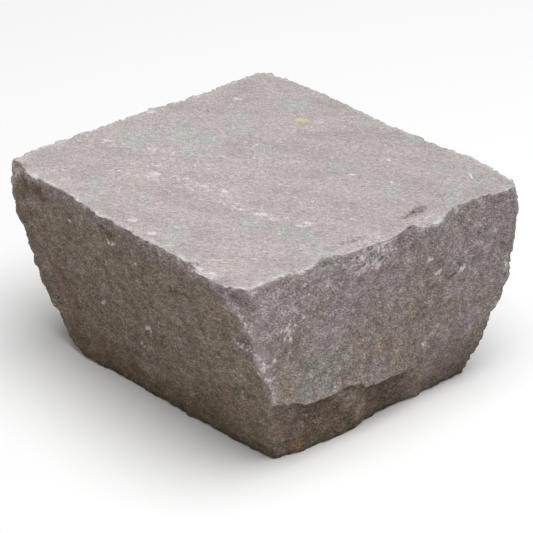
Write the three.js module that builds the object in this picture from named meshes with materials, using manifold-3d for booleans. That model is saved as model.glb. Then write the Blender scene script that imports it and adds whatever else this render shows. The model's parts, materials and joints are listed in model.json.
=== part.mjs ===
// A sandstone sett: a small paving block, riven from its bed and then broken to length and width.
// Millimetres, +Z up. The broad riven face is on top, and the narrower underside rests on the ground.
// The broken sides face -X (left), +X (right), -Y (front) and +Y (back).

import * as THREE from 'three';
import { ImprovedNoise } from 'three/addons/math/ImprovedNoise.js';
import { mergeVertices } from 'three/addons/utils/BufferGeometryUtils.js';
import Module from 'manifold-3d';

const wasm = await Module();
wasm.setup();

// Driving dimensions.
const thickness = 56;
const reach = 62;            // every raw slab runs this far out from the middle, past the finished sides
const below = -8;            // the side slabs start under the ground
const above = 66;            // and end over the top
const cell = 3.5;            // size of one facet of a rough face
const jitter = 0.28;         // how far a facet's corner strays along the face, in cells
const chipCell = 2.2;        // size of one facet inside a chip
const chipRelief = 0.5;      // roughness inside a chip

// A side is given at stations along its run. Each station lists [height, distance out from the middle].
// The arris lists [place along the side, distance out] for the ragged upper edge.
const front = {
  stations: [
    { along: -50, profile: [[0, 40.2], [16, 41.8], [32, 44], [45, 46.4], [56, 47.7]] },
    { along: 0, profile: [[0, 37], [15, 40.2], [30, 43.6], [45, 46.8], [56, 48]] },
    { along: 34, profile: [[0, 34.5], [15, 38.5], [30, 42.6], [45, 46.4], [56, 48.4]] },
    { along: 50, profile: [[0, 33], [21, 38.8], [28, 39.8], [34, 43], [45, 45.9], [56, 48.2]] },
  ],
  arris: [[-50, 47.4], [-20, 47.2], [-7, 48.7], [3, 47.6], [11, 48.4], [21, 47.3], [38, 49], [50, 47.6]],
  relief: 0.5,
  offset: 329,
};
const back = {
  stations: [
    { along: -50, profile: [[0, 36], [18, 40], [34, 46], [46, 48.5], [56, 47.5]] },
    { along: 0, profile: [[0, 37], [15, 41.5], [32, 46], [46, 49], [56, 48.8]] },
    { along: 50, profile: [[0, 34.6], [11, 37.8], [18, 39.6], [27, 43.2], [37, 47], [48, 49.3], [56, 49.4]] },
  ],
  arris: [[-50, 46.2], [-42, 48.4], [-4, 48.6], [2, 47.8], [13, 49.2], [30, 50.6], [42, 50.5], [50, 48.6]],
  relief: 0.9,
  offset: 60,
};
const left = {
  stations: [
    { along: -48, profile: [[0, 34.5], [6, 36], [12, 40.4], [17, 44], [28, 48.2], [36, 47], [56, 49.8]] },
    { along: 0, profile: [[0, 38], [12, 42], [28, 47], [44, 50.4], [56, 51.4]] },
    { along: 48, profile: [[0, 37], [14, 41], [30, 47.5], [44, 51], [56, 51.8]] },
  ],
  arris: [[-48, 49.4], [-36, 52], [-20, 51.4], [0, 51.2], [24, 51], [48, 51.8]],
  relief: 0.9,
  offset: 252,
};
const right = {
  stations: [
    { along: -50, profile: [[0, 52.6], [20, 52.6], [30, 51.6], [45, 51.4], [56, 50.4]] },
    { along: 0, profile: [[0, 51.5], [10, 52.4], [18, 52.7], [30, 52], [45, 51.6], [56, 51.6]] },
    { along: 20, profile: [[0, 46.8], [10, 50], [18, 51.6], [30, 51.9], [45, 51.6], [56, 51.2]] },
    { along: 46, profile: [[0, 46.6], [6, 49.4], [14, 51.4], [30, 52], [45, 52], [56, 51.8]] },
  ],
  arris: [
    [-50, 50.4], [-31, 50.2], [-27, 51.8], [-21, 49.6], [-10, 52.8], [1, 52.6], [9, 50.3], [14, 52.4],
    [19, 52.2], [25, 50.4], [35, 50.3], [42, 51.9], [50, 52],
  ],
  relief: 0.36,
  offset: 145,
};

// How far below the upper edge the ragged arris still shows in the side.
const arrisDepth = 14;

// Relief on the sides runs in faint upright streaks: this is its closeness up and down against along.
const streak = 0.6;

// The undercut at the foot of the right side, from the front corner to `end`. The rim is the line of the
// ledge, [along, height]. The foot is where the stone ends at the ground, [along, distance out].
const ledge = {
  rim: [[-62, 21.5], [-38, 20.8], [-28, 18], [-12, 17.2], [-6, 14.4], [8, 14.2], [15, 12], [24, 8]],
  end: 24,
  out: 52.6,
  recess: 0.8,
  foot: [[-62, 46], [-35, 46], [-28, 47.4], [-22, 48.6], [-8, 48.8], [-2, 47.4], [9, 46.8], [24, 48]],
  scallops: [
    { from: -46, to: -13, depth: 1.5 },
    { from: -8, to: 17, depth: 1.8 },
  ],
};

// The underside curves up towards the left, more at the front than at the back: [place along X, rise].
const bilge = [[-62, 30], [-46, 14], [-40, 7.8], [-33, 2.4], [-26, 0.4], [-18, 0]];

// Thin steps where one layer of the bed ends, as lines across the top, and the drop in front of each.
// The surface comes back up to the general level over about the dip's length.
const dipLength = 9;
const layerSteps = [
  { line: [[-62, -32], [-47, -25], [-28, -14], [-8, -9.6], [6, -7]], drop: 0.5 },
  { line: [[-50, -48], [-34, -36.6], [-18, -22], [-2, -18], [20, -16.4], [34, -13]], drop: 0.6 },
];

// Chips and flakes broken off. Each leaves a dish that is part of a ball. A chip is given by the dish's
// deepest point, the way the dish faces, the ball's radius and, for a long one, its stretch along X, Y, Z.
const chips = [
  { at: [48, -45.7, 49.2], facing: [0.5, -0.85, 0.16], radius: 12 },     // front right corner, at the top
  { at: [-45.4, -46.2, 53], facing: [-0.22, -0.86, 0.46], radius: 14 },        // front left corner
  { at: [-50.9, 47.2, 55.4], facing: [-0.7, 0.7, 0.3], radius: 10 },           // back left corner
  { at: [51.4, 48, 54.8], facing: [0.5, 0.6, 0.6], radius: 10 },               // back right corner
  { at: [49.5, 16.5, 54.7], facing: [0.12, 0, 1], radius: 18 },                // flake off the right edge
  { at: [44.8, 17, 54.9], facing: [0, 0, 1], radius: 1.5, stretch: [1, 4, 1] },   // groove behind the flake
  { at: [51.9, -9, 52], facing: [1, 0, 0.06], radius: 22 },                    // hollow in the right side
  { at: [46, -33.4, 1], facing: [0.7, -0.7, -0.2], radius: 12 },   // front right corner, at the foot
  { at: [49.4, -44.8, 41], facing: [0.1, -1, -0.2], radius: 9 },   // front right corner, part way up
  { at: [40.3, 44, 55.2], facing: [0, 0, 1], radius: 2.4 },                    // pit in the top
];

const noise = new ImprovedNoise();
const meanRidge = 0.22;      // mean size of the noise, so that ridges and dishes balance

// Fractal roughness of about plus or minus one, whose broadest waves are `wave` long.
function roughness(x, y, z, wave) {
  let sum = 0;
  let share = 1;
  for (let size = wave; share > 0.2; size /= 2.1) {
    sum += share * noise.noise(x / size, y / size, z / size + size);
    share *= 0.55;
  }
  return sum;
}

// A fracture surface: shallow dishes that meet in sharp ridges, about plus or minus one.
function fracture(x, y, z, wave) {
  let sum = 0;
  let share = 1;
  for (let size = wave; share > 0.3; size /= 1.9) {
    const ridge = meanRidge - Math.abs(noise.noise(x / size, y / size, z / size + size));
    sum += share * ridge / meanRidge;
    share *= 0.62;
  }
  return sum * 0.7;
}

// A smooth curve through [position, value] pairs.
function curve(pairs) {
  const positions = pairs.map((pair) => pair[0]);
  const values = pairs.map((pair) => pair[1]);
  const interpolant = new THREE.CubicInterpolant(positions, values, 1);
  return (position) => interpolant.evaluate(position)[0];
}

// Straight runs through [position, value] pairs.
function polyline(pairs) {
  const positions = pairs.map((pair) => pair[0]);
  const values = pairs.map((pair) => pair[1]);
  const interpolant = new THREE.LinearInterpolant(positions, values, 1);
  return (position) => interpolant.evaluate(position)[0];
}

// Distance out from the middle to a broken side, at a place along it and a height.
function sideSurface(side) {
  const profiles = side.stations.map((station) => curve(station.profile));
  const arris = polyline(side.arris);
  const plain = (along, z) => {
    const last = side.stations.length - 1;
    let k = 0;
    while (k < last - 1 && along > side.stations[k + 1].along) {
      k += 1;
    }
    const share = THREE.MathUtils.smoothstep(along, side.stations[k].along, side.stations[k + 1].along);
    return THREE.MathUtils.lerp(profiles[k](z), profiles[k + 1](z), share);
  };
  return (along, z) => {
    const nearTop = THREE.MathUtils.smoothstep(z, thickness - arrisDepth, thickness);
    const toArris = (arris(along) - plain(along, thickness)) * nearTop;
    const rough = fracture(along, z * streak, side.offset, 26) * side.relief * (1 - 0.75 * nearTop);
    return plain(along, z) + toArris + rough;
  };
}

// Height of the riven top: gentle undulation, with thin layers that end in low steps.
function topSurface() {
  const lines = layerSteps.map((step) => polyline(step.line));
  return (x, y) => {
    let z = thickness + 0.45 * roughness(x, y, 5, 34);
    layerSteps.forEach((step, k) => {
      const past = lines[k](x) - y;
      const scarp = THREE.MathUtils.smoothstep(past, -0.8, 0.8) * Math.exp(-Math.max(0, past) / dipLength);
      z -= step.drop * scarp * THREE.MathUtils.smoothstep(40 - x, 0, 20);
    });
    return z;
  };
}

// Height of the underside: flat where it bears, rough where it lifts off, and curved up to the left.
function undersideSurface() {
  const rise = curve(bilge);
  return (x, y) => {
    const share = THREE.MathUtils.lerp(1, 0.45, THREE.MathUtils.smoothstep(y, -30, 30));
    const rough = 0.8 * roughness(x, y, 29, 30) - 0.25;
    return Math.max(0, rise(x) * share + rough);
  };
}

// Turns a closed three.js geometry into a manifold-3d solid.
function solidFrom(geometry) {
  geometry.deleteAttribute('normal');
  geometry.deleteAttribute('uv');
  const merged = mergeVertices(geometry, 1e-4);
  return new wasm.Manifold(new wasm.Mesh({
    numProp: 3,
    vertProperties: new Float32Array(merged.getAttribute('position').array),
    triVerts: new Uint32Array(merged.getIndex().array),
  }));
}

// A block whose two large faces are rough. `place` takes a point across the block, u and v from 0 to 1,
// and whether it is on the far face, and gives its position.
function roughBlock(columns, rows, place) {
  const geometry = new THREE.BoxGeometry(1, 1, 1, columns, rows, 1);
  const position = geometry.getAttribute('position');
  for (let k = 0; k < position.count; k += 1) {
    let u = position.getX(k) + 0.5;
    let v = position.getY(k) + 0.5;
    const far = position.getZ(k) > 0;
    if (u > 0.01 && u < 0.99 && v > 0.01 && v < 0.99) {
      const seed = far ? 3.7 : 9.1;
      u += jitter * 2 * noise.noise(u * columns * 0.73, v * rows * 0.73, seed) / columns;
      v += jitter * 2 * noise.noise(v * rows * 0.73, u * columns * 0.73, seed + 20) / rows;
    }
    const point = place(u, v, far);
    position.setXYZ(k, point.x, point.y, point.z);
  }
  return solidFrom(geometry);
}

// The bed of stone, between its riven top and its underside.
function bed() {
  const top = topSurface();
  const underside = undersideSurface();
  const count = Math.round(2 * reach / cell);
  return roughBlock(count, count, (u, v, far) => {
    const x = THREE.MathUtils.lerp(-reach, reach, u);
    const y = THREE.MathUtils.lerp(-reach, reach, v);
    return new THREE.Vector3(x, y, far ? top(x, y) : underside(x, y));
  });
}

// The stone between its broken front and back.
function betweenFrontAndBack() {
  const frontOut = sideSurface(front);
  const backOut = sideSurface(back);
  const rows = Math.round(2 * reach / cell);
  const columns = Math.round((above - below) / cell);
  return roughBlock(columns, rows, (u, v, far) => {
    const z = THREE.MathUtils.lerp(below, above, u);
    const x = THREE.MathUtils.lerp(-reach, reach, v);
    return new THREE.Vector3(x, far ? backOut(x, z) : -frontOut(x, z), z);
  });
}

// The stone between its broken left and right sides.
function betweenLeftAndRight() {
  const leftOut = sideSurface(left);
  const rightOut = sideSurface(right);
  const columns = Math.round(2 * reach / cell);
  const rows = Math.round((above - below) / cell);
  return roughBlock(columns, rows, (u, v, far) => {
    const y = THREE.MathUtils.lerp(-reach, reach, u);
    const z = THREE.MathUtils.lerp(below, above, v);
    return new THREE.Vector3(far ? rightOut(y, z) : -leftOut(y, z), y, z);
  });
}

// What has broken away under the ledge of the right side.
function undercut() {
  const rim = polyline(ledge.rim);
  const foot = polyline(ledge.foot);
  const columns = Math.round((reach + ledge.end) / 2.6);
  return roughBlock(columns, 6, (u, v, far) => {
    const y = THREE.MathUtils.lerp(-reach, ledge.end, u);
    const z = THREE.MathUtils.lerp(below, rim(y), v);
    if (far) {
      return new THREE.Vector3(reach + 10, y, z);
    }
    let recess = ledge.recess;
    ledge.scallops.forEach((scallop) => {
      const across = THREE.MathUtils.mapLinear(y, scallop.from, scallop.to, -1, 1);
      recess += scallop.depth * Math.max(0, 1 - across * across);
    });
    const x = THREE.MathUtils.mapLinear(z, 0, rim(y), foot(y), ledge.out - recess);
    return new THREE.Vector3(x + 0.3 * roughness(y, z, 61, 12), y, z);
  });
}

// The rough ball whose surface is the dish that a chip left.
function chipSolid({ at, facing, radius, stretch = [1, 1, 1] }) {
  const detail = Math.round(radius / chipCell);
  const geometry = new THREE.IcosahedronGeometry(radius, detail);
  const position = geometry.getAttribute('position');
  const point = new THREE.Vector3();
  for (let k = 0; k < position.count; k += 1) {
    point.fromBufferAttribute(position, k);
    const swell = chipRelief * roughness(point.x + at[0], point.y + at[1], point.z + at[2], 7);
    point.multiplyScalar(1 + swell / radius);
    position.setXYZ(k, point.x, point.y, point.z);
  }
  geometry.scale(...stretch);
  const centre = new THREE.Vector3(...facing).setLength(radius).add(new THREE.Vector3(...at));
  geometry.translate(centre.x, centre.y, centre.z);
  return solidFrom(geometry);
}

// Turns a manifold-3d solid back into a three.js geometry.
function geometryFrom(solid) {
  const mesh = solid.getMesh();
  const geometry = new THREE.BufferGeometry();
  geometry.setAttribute('position', new THREE.BufferAttribute(mesh.vertProperties, 3));
  geometry.setIndex(new THREE.BufferAttribute(mesh.triVerts, 1));
  return geometry;
}

// The whole stone, moved so that the middle of its base is at the origin.
function stoneGeometry() {
  let stone = bed().intersect(betweenFrontAndBack()).intersect(betweenLeftAndRight());
  stone = stone.subtract(undercut());
  for (const chip of chips) {
    stone = stone.subtract(chipSolid(chip));
  }
  const geometry = geometryFrom(stone);
  geometry.computeBoundingBox();
  const middle = geometry.boundingBox.getCenter(new THREE.Vector3());
  geometry.translate(-middle.x, -middle.y, -geometry.boundingBox.min.z);
  geometry.computeVertexNormals();
  return geometry;
}

const sandstone = new THREE.MeshStandardMaterial({ color: 0x9a918c, roughness: 0.92, metalness: 0 });

const sett = new THREE.Mesh(stoneGeometry(), sandstone);
sett.name = 'sett';

const part = new THREE.Group();
part.add(sett);

export default part;
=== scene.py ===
import json
import math

import bpy
import numpy as np
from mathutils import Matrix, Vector

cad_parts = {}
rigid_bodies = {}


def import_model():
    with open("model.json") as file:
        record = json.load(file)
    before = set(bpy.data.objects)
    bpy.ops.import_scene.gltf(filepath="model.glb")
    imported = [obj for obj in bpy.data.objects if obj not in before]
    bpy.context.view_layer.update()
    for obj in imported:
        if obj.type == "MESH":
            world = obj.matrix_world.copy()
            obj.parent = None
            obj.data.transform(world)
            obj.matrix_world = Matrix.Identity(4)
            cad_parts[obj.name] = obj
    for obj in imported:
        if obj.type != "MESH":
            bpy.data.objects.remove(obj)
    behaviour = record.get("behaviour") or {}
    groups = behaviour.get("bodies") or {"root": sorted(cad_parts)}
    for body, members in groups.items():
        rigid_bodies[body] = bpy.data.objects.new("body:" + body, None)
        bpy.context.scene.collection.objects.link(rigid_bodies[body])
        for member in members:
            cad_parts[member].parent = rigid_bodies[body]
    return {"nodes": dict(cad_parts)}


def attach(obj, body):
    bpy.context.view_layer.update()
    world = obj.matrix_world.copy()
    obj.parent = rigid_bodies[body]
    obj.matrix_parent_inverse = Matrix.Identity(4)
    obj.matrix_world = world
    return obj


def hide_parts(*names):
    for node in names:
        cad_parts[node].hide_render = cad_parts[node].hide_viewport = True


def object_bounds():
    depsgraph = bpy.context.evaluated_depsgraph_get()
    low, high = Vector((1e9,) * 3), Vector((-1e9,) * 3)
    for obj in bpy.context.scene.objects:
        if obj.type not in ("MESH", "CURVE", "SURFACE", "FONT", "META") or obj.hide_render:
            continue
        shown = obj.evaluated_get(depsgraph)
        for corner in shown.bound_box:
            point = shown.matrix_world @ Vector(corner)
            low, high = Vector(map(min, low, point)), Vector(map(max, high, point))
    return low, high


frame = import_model()
cadLow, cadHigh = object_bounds()
mm = 0.001


# the stone's shape: a copy of the solid, with finer faces, relief and small marks, in mm but for the voxel
stoneLook = {
    "voxel": 0.68 * mm,      # size of one face
    "soften": 4,             # passes that take the facets off the flat parts
    "arrisSpread": 3,        # passes that widen the band along an arris
    "rimSpread": 9,          # and the passes for a second, wider band
    "topHeights": (49, 53),               # the riven top's relief comes in between these heights
    "underHeight": 16,                    # the underside's relief stays below this
    "ledgeEnd": (50, 15.5, 8),            # where the ledge is smoothed away into the side
    "ledgeEndY": 17,                      # past this the undercut has no depth
    "crumbledMiddle": (51.5, -7, 52.5),   # the crumbled stone below the right arris
    "crumbledShrink": (0.6, 0.4, 0.9),    # a smaller number makes it longer along that axis
    "calmCorner": (-50, -47, 55),         # a corner whose arrises are bitten less
    # one entry for each layer of relief: where it lies, the noise it follows, the size of its lumps and its
    # depth, its stretch along X, Y and Z, its turn about Z, and the level of the noise that stays in place
    "relief": [
        dict(name="rivenWaves", on="top", basis="ORIGINAL_PERLIN", hard=False, size=8.0, depth=0.8,
             stretch=(2.5, 1, 1), turn=20, level=0.5),
        dict(name="rivenRipples", on="top", basis="ORIGINAL_PERLIN", hard=False, size=1.9, depth=0.8,
             stretch=(1.9, 1, 1), turn=32, level=0.5),
        dict(name="backHollows", on="back", basis="ORIGINAL_PERLIN", hard=False, size=15.0, depth=5.0,
             stretch=(1, 1, 1), turn=35, level=0.5),
        dict(name="brokenLumps", on="sides", basis="ORIGINAL_PERLIN", hard=True, size=6.5, depth=1.4,
             stretch=(1, 1, 1), turn=0, level=0.32),
        dict(name="brokenStreaks", on="front", basis="ORIGINAL_PERLIN", hard=False, size=2.6, depth=0.6,
             stretch=(1, 1, 2.6), turn=0, level=0.5),
        dict(name="brokenCrumb", on="sides", basis="ORIGINAL_PERLIN", hard=False, size=1.8, depth=1.2,
             stretch=(1.5, 1.5, 1), turn=0, level=0.5),
        dict(name="brokenCrystal", on="sides", basis="VORONOI_F1", hard=False, size=1.6, depth=0.4,
             stretch=(1, 1, 1), turn=15, level=0.35),
        dict(name="crumbledPatch", on="crumbled", basis="ORIGINAL_PERLIN", hard=True, size=2.4, depth=3.0,
             stretch=(1, 1, 1), turn=10, level=0.4),
        dict(name="rightNotches", on="rightArris", basis="VORONOI_F1", hard=False, size=4.0, depth=1.8,
             stretch=(1, 1, 1), turn=25, level=0.5),
        dict(name="arrisBites", on="arris", basis="IMPROVED_PERLIN", hard=False, size=2.6, depth=2.5,
             stretch=(1, 1, 1), turn=40, level=0.48),
        dict(name="arrisCrumb", on="arris", basis="ORIGINAL_PERLIN", hard=False, size=1.3, depth=1.8,
             stretch=(1, 1, 1), turn=10, level=0.48),
        dict(name="underPits", on="under", basis="ORIGINAL_PERLIN", hard=False, size=3.0, depth=0.8,
             stretch=(1, 1, 1), turn=0, level=0.6),
    ],
    # grooves, hollows and pits pressed in: the points they pass through, the push and the width
    "marks": [
        dict(name="grooveBehindFlake", push=(0, 0, -1.0), width=1.2,
             points=[(45.4, 11.0, 55.5), (44.8, 14.8, 55.4), (44.1, 18.4, 55.4)]),
        dict(name="stepByRightEdge", push=(0, 0, -0.6), width=1.0,
             points=[(45.7, -12.0, 56), (45.8, -9.4, 56), (46.3, -7.1, 56)]),
        dict(name="topPit", push=(0, 0, -0.9), width=1.4,
             points=[(39.8, 41.9, 55.6), (40.2, 43.3, 55.6)]),
        dict(name="notchOnRightArris", push=(-0.6, 0, -0.5), width=1.5,
             points=[(50.6, -21.5, 54.8), (50.8, -19.6, 54.8)]),
        dict(name="cornerHollow", push=(-0.5, 0.4, 0), width=1.6,
             points=[(45.9, -48.3, 54.4), (46.9, -46.9, 52.4), (48.3, -46.1, 51.1), (49.8, -45.5, 49.8)]),
        dict(name="spurOnCorner", push=(0.4, -0.9, 0.2), width=1.3,
             points=[(44.8, -45.3, 38.7), (47.4, -45.5, 39.1), (49.3, -45.4, 38.8)]),
        dict(name="flakeStepRight", push=(-0.5, 0, 0), width=0.8,
             points=[(51.6, 22.2, 36.2), (51.6, 25.6, 36.8)]),
        dict(name="biteOnFrontArrisLeft", push=(0, 0.8, -0.2), width=2.0,
             points=[(-14.5, -48.5, 55.9), (-12.5, -48.6, 55.9)]),
        dict(name="biteOnFrontArrisRight", push=(0, 1.2, -0.2), width=2.0,
             points=[(30.0, -49.0, 56.0), (31.5, -49.0, 56.0)]),
        dict(name="ledgeLipFront", push=(0, 0, -1.1), width=3.0,
             points=[(51.9, -27.5, 18.0), (51.9, -23.0, 17.6), (51.9, -18.5, 17.2)]),
        dict(name="ledgeLipMiddle", push=(0, 0, -0.8), width=3.0,
             points=[(51.8, -6.5, 14.6), (51.8, 0, 14.5), (51.6, 6, 14.3)]),
        dict(name="chipOnBackCorner", push=(1.2, -1.2, 0), width=8.0,
             points=[(-51.2, 46, 40), (-50.4, 45.6, 36.5)]),
        dict(name="chipLowOnBackCorner", push=(1, -1, 0.2), width=7.0,
             points=[(-43.2, 39.9, 18.5), (-41.5, 39.2, 15)]),
        dict(name="hollowOnBack", push=(0, -1.4, -0.2), width=22.0,
             points=[(10, 46.3, 34), (20, 45.3, 28)]),
        dict(name="hollowOnLeft", push=(1.4, 0, 0), width=22.0,
             points=[(-49.8, 14, 36), (-48.6, 24, 30)]),
        dict(name="stepOnLeft", push=(0.8, 0, 0), width=2.4,
             points=[(-50.8, -14, 39), (-49.6, -5, 34), (-48.2, 5, 30)]),
        dict(name="stepOnBack", push=(0, -0.8, 0), width=2.4,
             points=[(-28, 47.5, 41), (-19, 46.6, 37), (-11, 45.6, 31)]),
    ],
    # places pulled out a little, in the same way
    "swells": [
        dict(name="frontLeftCorner", push=(-0.6, -0.3, 0), width=3.0,
             points=[(-49.8, -46.5, 54.6), (-49.6, -46.5, 55.2)]),
        dict(name="belowFrontLeftCorner", push=(-0.7, -0.7, 0), width=8.0,
             points=[(-47.8, -47.4, 45.5), (-46.8, -46.9, 42.0)]),
        dict(name="lobeOnFrontArrisLeft", push=(0, -0.7, 0), width=1.8,
             points=[(-7.0, -48.6, 55.6), (-6.0, -48.6, 55.6)]),
        dict(name="lobeOnFrontArris", push=(0, -0.5, 0), width=2.2,
             points=[(0.5, -48.7, 55.6), (4.0, -48.7, 55.6)]),
        dict(name="lowOnFrontLeftCorner", push=(-0.5, -0.4, 0), width=6.0,
             points=[(-43.3, -42.4, 17.5), (-42, -41.8, 14.5)]),
        dict(name="buttressUnderLedge", push=(0.9, 0, 0), width=7.0,
             points=[(50.6, -12, 13), (49.9, -8.8, 8.5)]),
        dict(name="backRightCorner", push=(0.7, 1.2, 0), width=8.0,
             points=[(50.8, 43.8, 27.5), (50.8, 43.0, 24.5)]),
    ],
    # lines that the finish follows: the crushed front corner, the layer edges on top and the ledge's rim
    "crushedLine": [
        [
            (45.2, -48.3, 51.4), (46.8, -47.5, 49.3), (48.2, -47.0, 47.7), (49.7, -46.8, 46.0),
            (51.0, -46.5, 44.8),
        ],
        [
            (44.8, -45.3, 38.7), (47.4, -45.5, 39.1), (49.9, -45.5, 38.7), (50.9, -44.8, 37.3),
            (50.8, -43.0, 35.0), (50.4, -42.2, 32.6), (50.2, -41.6, 29.6), (50.8, -40.5, 27.3),
            (51.4, -39.4, 24.9), (51.6, -38.9, 21.2),
        ],
    ],
    "layerEdges": [
        [
            (-47.8, -21.0, 56), (-40.1, -19.7, 56), (-35.8, -16.7, 56), (-28.8, -13.4, 56),
            (-22.9, -9.3, 56), (-17.9, -6.3, 56), (-13.3, -2.2, 56),
        ],
        [
            (-27.0, -29.5, 56), (-19.6, -25.8, 56), (-14.4, -22.3, 56), (-8.6, -18.8, 56),
            (-3.0, -17.4, 56), (3.1, -15.8, 56), (8.0, -17.8, 56), (14.6, -18.1, 56), (20.0, -17.1, 56),
            (28.6, -14.0, 56), (33.4, -11.4, 56),
        ],
    ],
    "ledgeRim": [       # y and z, on the right side
        (-39.5, 20.2), (-36.9, 20.0), (-33.5, 19.5), (-30.2, 18.3), (-26.8, 17.2), (-23.3, 16.9),
        (-19.8, 16.4), (-15.5, 16.9), (-12.7, 17.2), (-9.1, 16.4), (-7.4, 14.2), (-3.7, 13.9), (0, 13.7),
        (5.3, 14.0), (9.0, 13.4), (11.0, 12.2), (16.0, 10.5),
    ],
    # patches of another colour, each x, y, z and size
    "patches": {
        "topGreen": [
            (-38, -12, 56, 8), (-32, -1, 56, 7), (-25, 2, 56, 5), (-21, -6, 56, 5), (-32, 20, 56, 4.5),
            (-24, 13, 56, 4.5), (-10, 10, 56, 4.5), (-27, 36, 56, 5.5), (-22, -39, 56, 3.5),
            (-17, -45, 56, 3.5), (-9, -33, 56, 3), (14, -39, 56, 4.5), (23, -21, 56, 4), (32, -19, 56, 4.5),
            (37, -16, 56, 4), (13, 18, 56, 4), (33, 18, 56, 3.5), (31, 39, 56, 3.5), (35, 44, 56, 3.5),
            (45, 30, 56, 3.5), (-3, 46, 56, 4), (13, 46, 56, 4), (46, -20, 56, 3), (50.2, -20.2, 55.6, 3.2),
            (51.7, 43.4, 35.5, 2.8), (18, -45, 56, 3.5), (44.6, 41.5, 56, 3.5), (41.8, 32.6, 56, 3),
            (48.6, 24.6, 56, 3), (37.7, 42, 56, 3.5),
        ],
        "lilac": [(49.6, 12, 54.8, 3.5), (49.5, 17, 54.8, 3.5), (48, -3, 56, 3)],
        "cornerTan": [(-46.4, -46.6, 54.4, 4.5), (-48.6, -47.4, 50.5, 3)],
        "darkOlive": [(-43, -48, 50, 5), (-37, -48.5, 52, 3.5)],
        "mauve": [
            (51, 2, 49, 3), (52, 17, 49, 5), (51, -10, 46, 7), (51, -22, 34, 7), (52, 39, 33, 7),
            (51, -41, 44, 5), (51, -30, 47, 7), (43, -49, 54, 4.5), (45, -48, 50, 3.5), (19, -48, 52, 3.5),
            (30, -49, 53, 3), (-40, -48, 47, 2.5), (51.7, 1.5, 52, 2), (51.5, 2.2, 48.5, 2.2),
            (51.5, 2.4, 45, 2.2), (48.2, -46.6, 52, 3), (49.6, -45.4, 50.2, 2.5),
        ],
        "olive": [(52, 10, 31, 11), (51, -3, 32, 8), (51, 10, 46, 4), (52, 23, 24, 7), (1, -40, 9, 5)],
        "greenGrey": [
            (52, -22, 26, 7), (52, -29, 23, 5), (51, -15, 27, 4), (52, -4, 26, 3.5), (50, -20, 55, 3),
            (52, 43, 34, 2.5),
        ],
        "rust": [
            (52, -1, 24, 4.5), (51, -11, 29, 2), (52, -16, 19, 2), (51, -24, 29, 1.6), (51, 17, 18, 2),
            (51, -20, 47, 2), (52, -31, 24, 2), (52, -8, 27, 2.2), (39, -48, 49, 2),
        ],
        "redBrown": [
            (-44.5, -47, 42.3, 4), (-42.1, -45.8, 34.3, 3.5), (-4, -49, 51, 3.5), (-33.8, -43.8, 25.4, 4.5),
            (-28.6, -42.7, 19.3, 4.5), (-36, -43, 21, 3.5), (-30, -41, 11, 3), (-17.9, -40.2, 6.5, 3),
            (34, -40, 18, 4), (38, -40, 15, 4), (-34, -48, 51, 2.5), (48.3, -32, 9.4, 2.5),
            (51.8, -15.1, 18.8, 2.2),
        ],
        "underPale": [
            (50.5, -15.6, 13.6, 3), (50.8, -11.6, 12.7, 4), (50.1, -8.7, 8.8, 4), (49.2, -7.5, 4.5, 3),
        ],
        "footGreen": [(48.7, -10.0, 2, 3), (48, 21.5, 4, 2.4), (48.4, -20, 2.5, 2), (42, -37, 2, 2.5)],
        "footOrange": [
            (48, 24, 3, 2.4), (47.8, 1.3, 4, 2), (49.2, -8.1, 4.1, 1.6), (48, -28, 3, 3),
            (-5, -38, 1.5, 2.5), (-12, -39, 2, 2),
        ],
    },
}


def selectOnly(piece):
    if bpy.context.mode != "OBJECT":
        bpy.ops.object.mode_set(mode="OBJECT")
    bpy.ops.object.select_all(action="DESELECT")
    piece.select_set(True)
    bpy.context.view_layer.objects.active = piece


def applied(piece, kind, **settings):
    modifier = piece.modifiers.new(kind.lower(), kind)
    for key, value in settings.items():
        setattr(modifier, key, value)
    selectOnly(piece)
    bpy.ops.object.modifier_apply(modifier=modifier.name)


def smoothstep(value, low, high):
    share = np.clip((value - low) / (high - low), 0, 1)
    return share * share * (3 - 2 * share)


def copyOfNode(name, newName):
    selectOnly(frame["nodes"][name])
    bpy.ops.object.duplicate()
    piece = bpy.context.active_object
    bpy.ops.object.parent_clear(type="CLEAR_KEEP_TRANSFORM")
    for key in list(piece.keys()):
        del piece[key]
    piece.data.materials.clear()
    piece.name = piece.data.name = newName
    bpy.ops.object.mode_set(mode="EDIT")
    bpy.ops.mesh.select_all(action="SELECT")
    bpy.ops.mesh.remove_doubles(threshold=1e-6)
    bpy.ops.object.mode_set(mode="OBJECT")
    return piece


def vertexArray(piece, what):
    values = np.zeros(len(piece.data.vertices) * 3)
    piece.data.vertices.foreach_get(what, values)
    return values.reshape(-1, 3)


def neighbourMean(piece, values, passes=1):
    # each vertex takes the mean of the vertices it has an edge to
    ends = np.zeros(len(piece.data.edges) * 2, int)
    piece.data.edges.foreach_get("vertices", ends)
    near, far = ends.reshape(-1, 2).T
    count = np.bincount(ends, minlength=len(values))
    for _ in range(passes):
        total = np.bincount(near, values[far], len(values)) + np.bincount(far, values[near], len(values))
        values = total / count
    return values


def standsOut(piece):
    # how far each vertex stands out of its neighbours, in faces: above 0 on an arris, below in a hollow
    place = vertexArray(piece, "co")
    around = np.stack([neighbourMean(piece, place[:, axis]) for axis in range(3)], 1)
    return ((place - around) * vertexArray(piece, "normal")).sum(1) / stoneLook["voxel"]


def awayFrom(place, lines, furthest=8.0):
    # distance in mm from each vertex to the nearest of some lines, no more than furthest
    away = np.full(len(place), furthest)
    for line in lines:
        points = np.array(line)
        for start, end in zip(points, points[1:]):
            along = end - start
            share = np.clip((place - start) @ along / (along @ along), 0, 1)
            away = np.minimum(away, np.linalg.norm(place - start - share[:, None] * along, axis=1))
    return away


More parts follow.
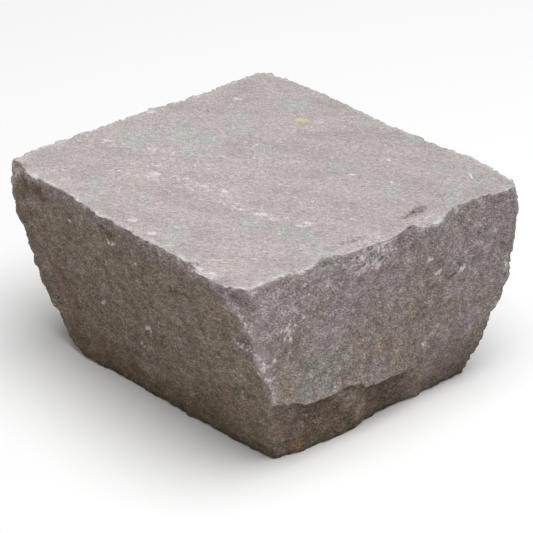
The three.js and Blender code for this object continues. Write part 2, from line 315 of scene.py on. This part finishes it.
def coverOf(place, spots):
    # 1 at the middle of a patch, 0 at its edge, below 0 outside
    cover = np.full(len(place), -1.0)
    for *middle, size in spots:
        cover = np.maximum(cover, 1 - np.linalg.norm(place - middle, axis=1) / size)
    return cover


def paintGroup(piece, name, weights):
    group = piece.vertex_groups.new(name=name)
    for index in np.flatnonzero(weights > 0.01):
        group.add([int(index)], float(weights[index]), "REPLACE")


def keepOnMesh(piece, name, values):
    layer = piece.data.attributes.new(name, "FLOAT", "POINT")
    layer.data.foreach_set("value", values.astype(np.float32))


def addRelief(piece, layer):
    texture = bpy.data.textures.new(layer["name"], "CLOUDS")
    texture.noise_scale = layer["size"] * mm
    texture.noise_depth = 3
    texture.noise_basis = layer["basis"]
    texture.noise_type = "HARD_NOISE" if layer["hard"] else "SOFT_NOISE"
    bpy.ops.object.empty_add(location=(0, 0, 0), rotation=(0, 0, math.radians(layer["turn"])))
    guide = bpy.context.active_object
    guide.scale = layer["stretch"]
    bpy.context.view_layer.update()
    applied(piece, "DISPLACE", texture=texture, texture_coords="OBJECT", texture_coords_object=guide,
            vertex_group=layer["on"], strength=layer["depth"] * mm, mid_level=layer["level"],
            direction="NORMAL")
    bpy.data.objects.remove(guide)


def selectVertices(piece, chosen):
    # leaves the piece in edit mode with the chosen vertices selected
    selectOnly(piece)
    bpy.ops.object.mode_set(mode="EDIT")
    bpy.ops.mesh.select_all(action="DESELECT")
    bpy.ops.object.mode_set(mode="OBJECT")
    piece.data.vertices.foreach_set("select", chosen)
    bpy.ops.object.mode_set(mode="EDIT")


def pressMark(piece, mark):
    # pushes the surface along a short line, with a soft edge
    away = awayFrom(vertexArray(piece, "co") / mm, [mark["points"]])
    selectVertices(piece, away < away.min() + 0.35 * min(mark["width"], 2) + 0.25)
    reach = 0.7 * mark["width"]
    bpy.ops.transform.translate(value=[step * mm for step in mark["push"]], use_proportional_edit=True,
                                proportional_size=reach * mm, proportional_edit_falloff="SMOOTH")
    bpy.ops.object.mode_set(mode="OBJECT")


stone = copyOfNode("sett", "stone")
applied(stone, "REMESH", mode="VOXEL", voxel_size=stoneLook["voxel"])

# the ledge dies out into the side
place = vertexArray(stone, "co") / mm
ledgeEnd = 1 - smoothstep(np.linalg.norm(place - stoneLook["ledgeEnd"], axis=1), 4, 9)
paintGroup(stone, "ledgeEnd", ledgeEnd * smoothstep(place[:, 2], 1, 4))
applied(stone, "SMOOTH", factor=0.5, iterations=30, vertex_group="ledgeEnd")

# the flat parts lose their facets and the arrises stay sharp
sharp = smoothstep(standsOut(stone), 0.06, 0.22)
paintGroup(stone, "flat", 1 - smoothstep(neighbourMean(stone, sharp, 1), 0.05, 0.4))
applied(stone, "SMOOTH", factor=0.5, iterations=stoneLook["soften"], vertex_group="flat")

# where each layer of relief lies
arrisBand = smoothstep(neighbourMean(stone, sharp, stoneLook["arrisSpread"]), 0.02, 0.3)
rimBand = smoothstep(neighbourMean(stone, sharp, stoneLook["rimSpread"]), 0.02, 0.22)
place = vertexArray(stone, "co") / mm
facing = vertexArray(stone, "normal")
topShare = smoothstep(facing[:, 2], 0.5, 0.8) * smoothstep(place[:, 2], *stoneLook["topHeights"])
underShare = smoothstep(-facing[:, 2], 0.6, 0.9) * (place[:, 2] < stoneLook["underHeight"])
sideShare = (1 - topShare) * (1 - underShare)
faceTurn = neighbourMean(stone, facing[:, 0] + facing[:, 1], 2)       # above 0 on the right and back sides
crumbledAway = (place - stoneLook["crumbledMiddle"]) * stoneLook["crumbledShrink"]
crumbled = 1 - smoothstep(np.linalg.norm(crumbledAway, axis=1), 1.5, 4.5)
paintGroup(stone, "top", topShare * (1 - 0.5 * arrisBand))
paintGroup(stone, "sides", sideShare * (1 - 0.35 * arrisBand))
paintGroup(stone, "front", sideShare * (1 - smoothstep(faceTurn, -0.5, 0.1)) * (1 - arrisBand))
paintGroup(stone, "back", sideShare * smoothstep(faceTurn, -0.5, 1.0) * (place[:, 0] < 40) * (1 - rimBand))
paintGroup(stone, "crumbled", crumbled * sideShare)
paintGroup(stone, "under", underShare)
backLeft = smoothstep(place[:, 1] - place[:, 0], 40, 60)
bitten = np.maximum(smoothstep(place[:, 2], 47, 52), 0.5 * backLeft) * 0.7 + 0.3
bitten *= 0.25 + 0.75 * smoothstep(np.linalg.norm(place - stoneLook["calmCorner"], axis=1), 4, 9)
paintGroup(stone, "arris", arrisBand * smoothstep(place[:, 2], 3, 6) * bitten)
paintGroup(stone, "rightArris", arrisBand * (place[:, 0] > 44) * (place[:, 2] > 50))

for layer in stoneLook["relief"]:
    addRelief(stone, layer)
for mark in stoneLook["marks"] + stoneLook["swells"]:
    pressMark(stone, mark)

# nothing stands out of the solid's box, and the lowest faces lie flat on the ground
for axis in range(3):
    for sign, limit in [(1, cadHigh[axis]), (-1, -cadLow[axis])]:
        selectVertices(stone, sign * vertexArray(stone, "co")[:, axis] > limit)
        bpy.ops.transform.resize(value=[0 if other == axis else 1 for other in range(3)],
                                 center_override=[sign * limit] * 3)
        bpy.ops.object.mode_set(mode="OBJECT")

# how far below the rim of the ledge, in mm: above 0 in the undercut
pressed = vertexArray(stone, "co") / mm
rimY, rimZ = np.array(stoneLook["ledgeRim"]).T
belowRim = np.interp(pressed[:, 1], rimY, rimZ) - pressed[:, 2]
belowRim = np.where((facing[:, 0] > 0.25) & (place[:, 0] > 40), np.clip(belowRim, -6, 20), -6)
belowRim = np.minimum(belowRim, (stoneLook["ledgeEndY"] - place[:, 1]) * 0.45)

grooves = [mark["points"] for mark in stoneLook["marks"] if mark["width"] < 1.5]

keepOnMesh(stone, "arrisBand", arrisBand)
keepOnMesh(stone, "rimBand", rimBand)
keepOnMesh(stone, "faceTurn", faceTurn)
keepOnMesh(stone, "crumbliness", crumbled)
keepOnMesh(stone, "belowRim", neighbourMean(stone, belowRim, 1))
keepOnMesh(stone, "crushedAway", awayFrom(place, stoneLook["crushedLine"]))
keepOnMesh(stone, "layerEdgeAway", awayFrom(place, stoneLook["layerEdges"]))
keepOnMesh(stone, "grooveAway", awayFrom(place, grooves))
for name, spots in stoneLook["patches"].items():
    keepOnMesh(stone, name + "Cover", coverOf(place, spots))
keepOnMesh(stone, "wearAndShade", neighbourMean(stone, standsOut(stone), 1))
selectOnly(stone)
bpy.ops.object.shade_smooth()
print("stone modelled:", len(stone.data.polygons), "faces")


class Wire:
    # a node's output, with + - * that add Math nodes
    def __init__(self, tree, socket=None):
        self.tree = tree
        self.socket = socket

    def make(self, kind, settings=None, inputs=None, output=0):
        node = self.tree.nodes.new(kind)
        for key, value in (settings or {}).items():
            setattr(node, key, value)
        for key, value in (inputs or {}).items():
            if isinstance(value, Wire):
                self.tree.links.new(value.socket, node.inputs[key])
            else:
                node.inputs[key].default_value = value
        return Wire(self.tree, node.outputs[output] if node.outputs else None)

    def maths(self, operation, *values):
        return self.make("ShaderNodeMath", {"operation": operation}, dict(enumerate(values)))

    def __add__(self, other):
        return self.maths("ADD", self, other)

    def __sub__(self, other):
        return self.maths("SUBTRACT", self, other)

    def __rsub__(self, other):
        return self.maths("SUBTRACT", other, self)

    def __mul__(self, other):
        return self.maths("MULTIPLY", self, other)

    __radd__ = __add__
    __rmul__ = __mul__

    def rise(self, low, high):
        # 0 below low, 1 above high, smooth between
        return self.make("ShaderNodeMapRange", {"interpolation_type": "SMOOTHSTEP"},
                         {0: self, 1: low, 2: high})

    def orMore(self, other):
        return other if self.socket is None else self.maths("MAXIMUM", self, other)

    def blend(self, below, above):
        # a colour: below where this is 0, above where it is 1
        return self.make("ShaderNodeMix", {"data_type": "RGBA"}, {0: self, 6: below, 7: above}, 2)


def rgb(red, green, blue):
    # a linear colour from values as a colour picker shows them, 0 to 255
    def linear(value):
        share = value / 255
        return share / 12.92 if share <= 0.04045 else ((share + 0.055) / 1.055) ** 2.4
    return (linear(red), linear(green), linear(blue), 1)


# the stone's finish: colours, strengths, and lengths in mm but for the bump
sandstone = {
    "topGround": rgb(176, 168, 166),
    "topDark": rgb(166, 158, 156),
    "topGreen": rgb(168, 170, 165),
    "lilac": rgb(182, 173, 178),
    "topFleck": rgb(216, 210, 207),
    "topRim": rgb(190, 183, 181),
    "worn": rgb(190, 182, 181),
    "bruise": rgb(226, 219, 217),
    "rim": rgb(222, 224, 225),
    "crumb": rgb(152, 142, 142),
    "crumbPale": rgb(182, 172, 170),
    "cornerTan": rgb(162, 148, 140),
    "darkOlive": rgb(105, 94, 77),
    "mauve": rgb(147, 137, 138),
    "crushedMauve": rgb(162, 152, 158),
    "olive": rgb(132, 122, 113),
    "greenGrey": rgb(136, 133, 125),
    "brown": rgb(119, 106, 92),
    "brownLow": rgb(107, 93, 77),
    "frontGrey": rgb(129, 118, 107),
    "rust": rgb(136, 116, 108),
    "redBrown": rgb(113, 88, 80),
    "footOlive": rgb(98, 84, 64),
    "footBrown": rgb(98, 86, 77),
    "footOrange": rgb(118, 92, 64),
    "footGreen": rgb(70, 68, 46),
    "underPale": rgb(113, 102, 92),
    "undercut": rgb(93, 80, 70),
    # painted shadow just below the ledge's rim
    "shadowBelowRim": rgb(82, 71, 61),
    # dark grain, and the colour of the painted shade in grooves, sunken places and between crumbs
    "darkGrainAndShade": rgb(78, 70, 66),
    "crystal": rgb(206, 199, 196),
    "lichen": rgb(206, 198, 92),
    "beddingTurn": 30,         # degrees from X, the run of the ripples in the top
    "beddingStretch": 2.2,
    "strokeTurn": -22,         # degrees about X and Y, the lean of the grain in the sides
    "strokeStretch": 1.8,
    "slantTurn": 25,           # degrees about X, the lean of the ridges in the crumbled stone
    "slantStretch": 3.5,
    "grainTop": 1.22,          # strength of the light and dark grain
    "grainSides": 1.97,
    "paintedTopLight": 1.0,           # painted light: brightness of the top
    "paintedSideLight": 0.95,         # and of the sides, a little darker: painted shade
    "roughness": 0.9,
    "specular": 0.25,
    "bumpDepth": 0.8 * mm,
    "lichenPlace": (-17.9, 30.7, 56.2),
    "lichenSize": (1.8, 1.1, 3),
    "lichenTurn": 50,
    # how well each patch of colour covers the stone
    "patchStrength": {
        "topGreen": 0.75, "lilac": 0.7, "mauve": 0.6, "olive": 0.6, "greenGrey": 0.65, "rust": 0.5,
        "redBrown": 0.65, "cornerTan": 0.8, "darkOlive": 0.85, "underPale": 0.75, "footGreen": 0.6,
        "footOrange": 0.45,
    },
    # how well each other layer of colour covers those below it
    "cover": {
        "topFleck": 0.7, "layerEdge": 0.65, "topRim": 0.8, "brownLow": 0.5, "mauveHigh": 0.45,
        "blotches": 0.4, "foot": 0.8, "gapShade": 0.55, "ridges": 0.75, "groove": 0.5, "rimLine": 0.6,
        "bruise": 0.5, "halo": 0.6, "crushed": 0.9, "hollowShade": 0.3, "worn": 0.3, "sparkle": 0.5,
        "pits": 0.25, "lichen": 0.9,
    },
    # the heights between which a layer comes in or dies out
    "heights": {
        "top": (47, 52), "brownLow": (0, 42), "mauveHigh": (47, 55), "blotches": (46, 52), "foot": (-2, 15),
        "rightFoot": (1, 24), "crumbPale": (50, 53.5), "paintedGroundShade": (0, 3), "rimLine": (50, 53),
        "bruise": (12, 44), "halo": (10, 38), "crushed": (14, 34), "worn": (0, 30), "sparkle": (0, 22),
    },
    # bright crystals, bruises and scratches, and one painted highlight: the middle, the half lengths along
    # and across (mm), and the turn about the axis that they face
    "brightMarks": {
        "facingX": [
            (51.2, -34.0, 40.4, 0.8, 1.5, 10), (51.2, -34.5, 42.2, 1.2, 0.6, 50),
            (51.2, -36.7, 41.9, 0.6, 0.5, 0), (51.2, -35.2, 38.9, 0.5, 1.0, -35),
            (51.2, -33.4, 38.0, 0.55, 1.2, 10), (51.2, -32.1, 41.7, 0.6, 0.4, 0),
            (51.2, -32.6, 40.3, 0.5, 0.5, 0), (51.2, -35.2, 41.3, 1.1, 0.5, -20),
            (51.2, -33.5, 43.6, 0.4, 0.4, 0), (51.2, -44, 32.3, 0.6, 0.5, 0), (51.2, -39, 34, 0.9, 1.1, 0),
            (51.4, 14.0, 19.0, 0.9, 1.2, 0), (51.2, 27.2, 37.2, 1.7, 1.1, 20),
            (51.2, 18, 39.5, 1.6, 0.6, 10), (51.2, -4, 49, 1.1, 1.2, 0), (51.2, 15, 44, 1.2, 0.6, 0),
            (51.3, 44, 33, 0.7, 0.9, 0), (51.2, -29, 52, 0.5, 0.8, 0), (51.2, -29, 43, 0.7, 0.5, 0),
            # painted highlight on the rounded nose by the front corner
            (50.4, -44.3, 54.8, 1.4, 0.4, 0),
        ],
        "facingY": [
            (-4.4, -48.2, 49.2, 0.45, 1.6, -30), (-2.8, -48.2, 48.7, 1.5, 0.45, -35),
            (7, -48, 47, 0.5, 0.7, 0), (-14, -44, 25, 0.7, 0.6, 0), (5.0, -43.2, 25.1, 1.9, 0.6, -38),
            (6.2, -43.2, 25.0, 0.9, 0.8, 0), (0, -42, 18, 0.5, 0.5, 0), (-22, -48, 48, 0.6, 0.6, 0),
            (48.4, -41.8, 30.0, 0.9, 0.7, 0), (51, -41.3, 29.1, 0.7, 0.5, 0),
            (51, -42.3, 33.0, 0.8, 0.9, 0),
        ],
        "facingZ": [
            (2.2, 11.8, 56.1, 2.9, 0.42, 36), (18.4, 17.3, 56.1, 1.9, 0.38, 50),
            (-13.5, 10.6, 56, 2.4, 0.36, 105), (-10.4, 16.3, 56, 1.2, 0.4, 60),
            (-13.8, -1.8, 56, 1.3, 0.45, 40), (17.9, 31.1, 56.1, 0.9, 0.8, 0),
            (28.7, 22.2, 56.1, 0.8, 0.6, 0), (-41, 26.5, 55.9, 1.5, 0.9, 40),
            (-49.5, 1.6, 56.2, 2.0, 0.8, 60), (-17.6, -22.2, 55.8, 2.0, 1.0, 35),
            (-9.6, -17.8, 55.7, 1.1, 0.8, 30), (-3.0, -16.9, 55.8, 1.4, 0.7, 40),
            (3.1, -15.0, 55.7, 1.3, 1.0, 30), (14.2, -18.5, 55.8, 2.0, 0.5, 30),
            (19.8, -17.0, 55.9, 2.2, 0.6, 35), (32.6, -10.8, 56.1, 2.0, 0.5, 45),
            (38.6, 42.2, 55.9, 1.0, 0.7, 0), (-42.5, -19.8, 56, 1.6, 0.5, 30),
            (1.2, -44.1, 56, 1.6, 0.8, 50), (10.6, -45.2, 56.2, 1.8, 1.0, 40),
            (18.4, -46.8, 56.2, 1.6, 0.5, 60), (25.4, -47.8, 56.1, 1.8, 1.0, 20),
            (32.9, -47.8, 56, 1.8, 0.9, 10), (37.6, -47.2, 56, 1.4, 0.9, 0),
        ],
    },
}


def sandstoneMaterial():
    material = bpy.data.materials.new("sandstone")
    material.use_nodes = True
    tree = material.node_tree
    tree.nodes.clear()
    base = Wire(tree)
    coords = base.make("ShaderNodeTexCoord", output="Object")
    facing = base.make("ShaderNodeTexCoord", output="Normal")
    spot = base.make("ShaderNodeVectorMath", {"operation": "SCALE"}, {0: coords, "Scale": 1 / mm})

    def attribute(name):
        return base.make("ShaderNodeAttribute", {"attribute_name": name}, output="Fac")

    def vectorMaths(operation, *values, output="Vector"):
        return base.make("ShaderNodeVectorMath", {"operation": operation}, dict(enumerate(values)), output)

    def moved(place, middle=(0, 0, 0), turns=(0, 0, 0), stretch=(1, 1, 1)):
        # the place as measured from a middle, along axes turned about X, Y and Z, in steps of the stretch
        rotation = [math.radians(turn) for turn in turns]
        return base.make("ShaderNodeMapping", {"vector_type": "TEXTURE"},
                         {0: place, "Location": middle, "Rotation": rotation, "Scale": stretch})

    def noise(size, detail=3.0, rough=0.55, turns=(0, 0, 0), stretch=(1, 1, 1), shift=0.0, output="Fac"):
        place = moved(spot, (shift,) * 3, turns, stretch)
        return base.make("ShaderNodeTexNoise", {},
                         {"Vector": place, "Scale": 1 / size, "Detail": detail, "Roughness": rough}, output)

    def grains(size, spread, shift=0.0):
        # small round grains
        cell = base.make("ShaderNodeTexVoronoi", {"feature": "F1"},
                         {"Vector": moved(spot, (shift,) * 3), "Scale": 1 / size})
        return 1 - cell.rise(spread * 0.5, spread)

    def strayed(size, amount, shift):
        # the place moved about, so that what is drawn by it has a ragged edge
        swirl = vectorMaths("SUBTRACT", noise(size, 4, 0.65, shift=shift, output="Color"), (0.5, 0.5, 0.5))
        return vectorMaths("ADD", spot, vectorMaths("MULTIPLY", swirl, (amount,) * 3))

    def split(vector):
        return [base.make("ShaderNodeSeparateXYZ", {}, {0: vector}, axis) for axis in range(3)]

    def near(place, middle, lengths, turn, axis):
        # 1 at the middle of a round or long mark, 0 outside it
        turns = [turn if other == axis else 0 for other in range(3)]
        return 1 - vectorMaths("LENGTH", moved(place, middle, turns, lengths), output="Value").rise(0.3, 1.3)

    x, y, z = split(spot)
    normalZ = split(facing)[2]
    raggedZ = split(strayed(5, 7, 11))[2]
    arrisBand, wearAndShade, crumbled = attribute("arrisBand"), attribute("wearAndShade"), attribute("crumbliness")
    belowRim, crushedAway = attribute("belowRim"), attribute("crushedAway")
    cover, heights = sandstone["cover"], sandstone["heights"]
    bedding = {"turns": (0, 0, sandstone["beddingTurn"]), "stretch": (sandstone["beddingStretch"], 1, 1)}
    strokes = {"turns": (sandstone["strokeTurn"], sandstone["strokeTurn"], 0),
               "stretch": (sandstone["strokeStretch"], sandstone["strokeStretch"], 1)}
    slant = {"turns": (sandstone["slantTurn"], 0, 0), "stretch": (1, sandstone["slantStretch"], 1)}
    fineNoise = noise(1.1, 4, 0.65, shift=19)

    # 1 on the riven top, on the right and back sides, and in the undercut
    top = normalZ.rise(0.4, 0.7) * z.rise(*heights["top"])
    right = (attribute("faceTurn") + (fineNoise - 0.5) * 0.5).rise(-0.14, 0.14)
    undercut = (belowRim + (fineNoise - 0.5) * 1.6).rise(-0.2, 0.5)
    undercut = undercut * (0.65 + y.rise(-38, -24) * 0.35) * (1 - y.rise(6, 13))

    # the riven top
    bands = noise(9, 4, 0.6, shift=3, **bedding).rise(0.35, 0.62)
    topColour = bands.blend(sandstone["topDark"], sandstone["topGround"])
    fleck = noise(1.0, 3, 0.65, (0, 0, 25), (3.2, 1, 1), 5).rise(0.62, 0.7)
    fleck = fleck * noise(9, 2, 0.5, shift=21, **bedding).rise(0.48, 0.62)
    topColour = (fleck * cover["topFleck"]).blend(topColour, sandstone["topFleck"])
    edge = (attribute("layerEdgeAway") + (noise(3, 3, 0.6, shift=52) - 0.5) * 8).rise(0.2, 2.4)
    dashes = noise(0.8, 3, 0.6, (0, 0, 28), (2.2, 1, 1), 31).rise(0.48, 0.64)
    topColour = ((1 - edge) * dashes * cover["layerEdge"]).blend(topColour, sandstone["topFleck"])
    rim = attribute("rimBand") * noise(2.2, 4, 0.65, shift=63).rise(0.36, 0.56)
    topColour = (rim * cover["topRim"]).blend(topColour, sandstone["topRim"])

    # the broken sides: their own mauve, olive and brown, set darker than the top, and the front darker than
    # the right side, partly as painted shade
    zone = noise(17, 3, 0.5, shift=61)
    patchy = noise(5, 5, 0.65, shift=83)
    mottle = (zone * 0.7 + patchy * 0.5 - z * 0.003).rise(0.36, 0.62)
    sideRight = mottle.blend(sandstone["mauve"], sandstone["olive"])
    frontColourAndShade = patchy.rise(0.38, 0.62).blend(sandstone["brown"], sandstone["frontGrey"])
    brownLow = 1 - raggedZ.rise(*heights["brownLow"])
    frontColourAndShade = (brownLow * cover["brownLow"]).blend(frontColourAndShade, sandstone["brownLow"])
    mauveHigh = raggedZ.rise(*heights["mauveHigh"])
    frontColourAndShade = (mauveHigh * cover["mauveHigh"]).blend(frontColourAndShade, sandstone["mauve"])
    blotches = raggedZ.rise(*heights["blotches"]) * noise(2.2, 4, 0.65, shift=211).rise(0.5, 0.6)
    frontColourAndShade = (blotches * cover["blotches"]).blend(frontColourAndShade, sandstone["darkOlive"])
    sideColour = right.blend(frontColourAndShade, sideRight)
    foot = (1 - raggedZ.rise(*heights["foot"])) * (1 - right)
    sideColour = (foot * cover["foot"]).blend(sideColour, sandstone["footOlive"])
    rightFoot = (1 - raggedZ.rise(*heights["rightFoot"])) * right * (0.35 + y.rise(-10, 22) * 0.5)
    sideColour = rightFoot.blend(sideColour, sandstone["footBrown"])
    # the undercut's brown, with painted shadow darkest just below the ledge's rim
    undercutWithShadow = belowRim.rise(0.5, 6).blend(sandstone["shadowBelowRim"], sandstone["undercut"])
    sideColour = undercut.blend(sideColour, undercutWithShadow)
    colour = top.blend(sideColour, topColour)

    # patches of another colour, with ragged edges
    for name in stoneLook["patches"]:
        swirl = noise(4.5, 5, 0.65, shift=len(name) * 7)
        patch = (attribute(name + "Cover") + (swirl - 0.5) * 2.4).rise(0.0, 0.6)
        colour = (patch * sandstone["patchStrength"][name]).blend(colour, sandstone[name])

    # crumbled stone below the right arris, paler towards the top
    crumbColour = z.rise(*heights["crumbPale"]).blend(sandstone["crumb"], sandstone["crumbPale"])
    colour = (crumbled.rise(0, 0.7) * fineNoise.rise(0.2, 0.45)).blend(colour, crumbColour)

    # light and dark grain all over
    grainSides = (noise(0.36, 2, 0.6, shift=7, **strokes) - 0.5) * 1.4
    grainSides = grainSides + (noise(1.0, 3, 0.6, shift=9, **strokes) - 0.5) * 0.7
    grainSides = grainSides + (noise(3.5, 3, 0.6, shift=13) - 0.5) * 0.65
    grainTop = (noise(0.42, 2, 0.6, (0, 0, 45), (1.3, 1, 1), 17) - 0.5) * 1.3
    grainTop = grainTop + (noise(0.8, 3, 0.6, (0, 0, 35), (1.7, 1, 1), 23) - 0.5) * 0.7
    grainSides = grainSides * (1 - top) * (1 + undercut * 0.25)
    grain = grainTop * sandstone["grainTop"] * top + grainSides * sandstone["grainSides"]
    # painted light and shade: lighter towards the front corner and from the ledge's rim down, darker at the
    # back end of the undercut and close to the ground
    paintedTopLight = sandstone["paintedTopLight"] - y * 0.0008 - x * 0.0005
    paintedSideLight = sandstone["paintedSideLight"] - y * right * 0.0016 + x.rise(22, 46) * (1 - right) * 0.1
    paintedSideLight = paintedSideLight + belowRim.rise(-5, -0.5) * 0.18 - undercut * y.rise(-8, 2) * 0.16
    # painted shade: darker within 3 mm of the ground
    paintedGroundShade = 1 - (1 - z.rise(*heights["paintedGroundShade"])) * 0.25
    grainAndPaintedLight = base.maths("EXPONENT", grain) * (top * paintedTopLight + (1 - top) * paintedSideLight * paintedGroundShade)
    colour = base.make("ShaderNodeVectorMath", {"operation": "SCALE"}, {0: colour, "Scale": grainAndPaintedLight})

    # painted highlight on each slanting ridge and painted shade in each gap of the crumbled stone
    gapShade = 1 - noise(0.75, 3, 0.6, shift=191, **slant).rise(0.42, 0.5)
    ridges = noise(0.75, 3, 0.6, shift=221, **slant).rise(0.5, 0.58)
    colour = (crumbled * gapShade * cover["gapShade"]).blend(colour, sandstone["darkGrainAndShade"])
    colour = (crumbled * ridges * cover["ridges"]).blend(colour, sandstone["bruise"])

    # bruised white along the arrises; painted shade in the pressed grooves and where the surface sinks in
    groove = 1 - (attribute("grooveAway") + (fineNoise - 0.5) * 2.4).rise(0.1, 0.9)
    colour = (groove * cover["groove"]).blend(colour, sandstone["darkGrainAndShade"])
    rimLine = arrisBand.rise(0.3, 0.9) * normalZ.rise(0.25, 0.6) * z.rise(*heights["rimLine"])
    rimLine = rimLine * noise(2.2, 4, 0.7, stretch=(1.5, 1.5, 1), shift=201).rise(0.46, 0.62)
    colour = (rimLine * cover["rimLine"]).blend(colour, sandstone["rim"])
    bruise = arrisBand * noise(1.1, 4, 0.7, shift=44).rise(0.46, 0.6) * z.rise(*heights["bruise"])
    colour = (bruise * (1 - top) * cover["bruise"]).blend(colour, sandstone["worn"])
    halo = 1 - (crushedAway + (fineNoise - 0.5) * 9).rise(0.4, 3.8)
    halo = halo * (0.5 + right * 0.3) * z.rise(*heights["halo"])
    colour = (halo * cover["halo"]).blend(colour, sandstone["crushedMauve"])
    crushed = 1 - (crushedAway + (noise(0.8, 3, 0.7, shift=71) - 0.5) * 7).rise(0.0, 1.0)
    crushed = crushed * noise(0.7, 3, 0.7, shift=181).rise(0.44, 0.56) * z.rise(*heights["crushed"])
    colour = (crushed * cover["crushed"]).blend(colour, sandstone["bruise"])
    # painted shade where the surface sinks below its neighbours
    hollowShade = (0 - wearAndShade).rise(0.02, 0.3) * (cover["hollowShade"] - top * 0.08)
    colour = hollowShade.blend(colour, sandstone["darkGrainAndShade"])
    # paler where the surface stands out: worn arrises, and painted highlight along them
    worn = wearAndShade.rise(0.03, 0.3) * z.rise(*heights["worn"])
    colour = (worn * cover["worn"]).blend(colour, sandstone["worn"])

    # crystals, pits and single marks
    clusters = noise(4, 3, 0.6, shift=77).rise(0.46, 0.62)
    sparkle = noise(0.8, 2, 0.5, stretch=(1, 1.6, 1), shift=50).rise(0.62, 0.7) * (0.25 + clusters * 0.75)
    sparkle = sparkle * (1 - undercut * 0.7) * z.rise(*heights["sparkle"])
    colour = (sparkle * (cover["sparkle"] + crumbled * 0.4)).blend(colour, sandstone["crystal"])
    pits = noise(1.0, 2, 0.5, shift=150).rise(0.62, 0.7)
    colour = (pits * (cover["pits"] - top * 0.1 + crumbled * 0.4)).blend(colour, sandstone["darkGrainAndShade"])
    markDepth = 3.0      # how far off the surface a mark still shows
    bright = Wire(tree)
    splintered = strayed(0.7, 2.2, 130)
    splinters = noise(0.5, 3, 0.7, shift=171).rise(0.4, 0.58)
    for axis, spots in enumerate(sandstone["brightMarks"].values()):
        for *middle, along, across, turn in spots:
            lengths = [along, across]
            lengths.insert(axis, markDepth)
            bright = bright.orMore(near(splintered, middle, lengths, turn, axis))
    colour = (bright * (0.3 + splinters * 0.6)).blend(colour, sandstone["bruise"])
    lichen = near(splintered, sandstone["lichenPlace"], sandstone["lichenSize"], sandstone["lichenTurn"], 2)
    colour = (lichen * cover["lichen"]).blend(colour, sandstone["lichen"])

    # fine relief
    heightSides = noise(0.55, 3, 0.6, shift=15, **strokes) * 0.45 + noise(1.3, 3, 0.6, shift=25) * 0.5
    heightSides = heightSides - grains(1.1, 0.3, 90) * 0.1
    heightTop = noise(0.6, 3, 0.6, shift=35, **bedding) * 0.55
    heightTop = heightTop + noise(1.4, 3, 0.6, shift=45, **bedding) * 0.85
    height = heightTop * top + heightSides * (1 - top)
    bump = base.make("ShaderNodeBump", {},
                     {"Strength": 1.0, "Distance": sandstone["bumpDepth"], "Height": height})

    surface = base.make("ShaderNodeBsdfPrincipled", {}, {
        "Base Color": colour, "Roughness": sandstone["roughness"],
        "Specular IOR Level": sandstone["specular"], "Normal": bump})
    base.make("ShaderNodeOutputMaterial", {}, {"Surface": surface})
    return material


stone.data.materials.append(sandstoneMaterial())
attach(stone, "root")
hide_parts("sett")
print("stone finished")


# floor, light and camera
studio = {
    "floorSize": 6,
    "floor": 0.84,                # how light the floor is
    "sky": 0.34,                  # strength of the light from all round
    "lampPower": 19.8,
    "lampSize": 1.3,
    "lampPlace": (0.3, 0.02, 1.3),
    "lampAim": (0, 0, 0.03),
    "sensor": 36,
    "lens": 2200 / 533 * 36,      # a focal length of 2200 pixels in a frame 533 wide
    "cameraPlace": (0.41028, -0.34905, 0.313),
    "cameraTurn": (62, 0, 49.41),
}

bpy.ops.mesh.primitive_plane_add(size=studio["floorSize"], location=(0, 0, 0))
floor = bpy.context.active_object
floor.name = "floor"
paint = bpy.data.materials.new("floorPaint")
paint.use_nodes = True
paintShader = paint.node_tree.nodes["Principled BSDF"]
paintShader.inputs["Base Color"].default_value = (studio["floor"],) * 3 + (1,)
paintShader.inputs["Roughness"].default_value = 1
floor.data.materials.append(paint)

world = bpy.data.worlds.new("studio")
bpy.context.scene.world = world
world.use_nodes = True
world.node_tree.nodes["Background"].inputs["Color"].default_value = (1, 1, 1, 1)
world.node_tree.nodes["Background"].inputs["Strength"].default_value = studio["sky"]

bpy.ops.object.light_add(type="AREA", location=studio["lampPlace"])
lamp = bpy.context.active_object
lamp.name = "softLamp"
lamp.data.energy = studio["lampPower"]
lamp.data.shape = "DISK"
lamp.data.size = studio["lampSize"]
aim = Vector(studio["lampAim"]) - lamp.location
lamp.rotation_euler = aim.to_track_quat("-Z", "Y").to_euler()

bpy.ops.object.camera_add(location=studio["cameraPlace"],
                          rotation=[math.radians(angle) for angle in studio["cameraTurn"]])
camera = bpy.context.active_object
camera.data.lens = studio["lens"]
camera.data.sensor_width = studio["sensor"]
camera.data.clip_start = 0.01
camera.data.clip_end = 20
bpy.context.scene.camera = camera
bpy.context.scene.view_settings.view_transform = "Standard"
print("studio ready")
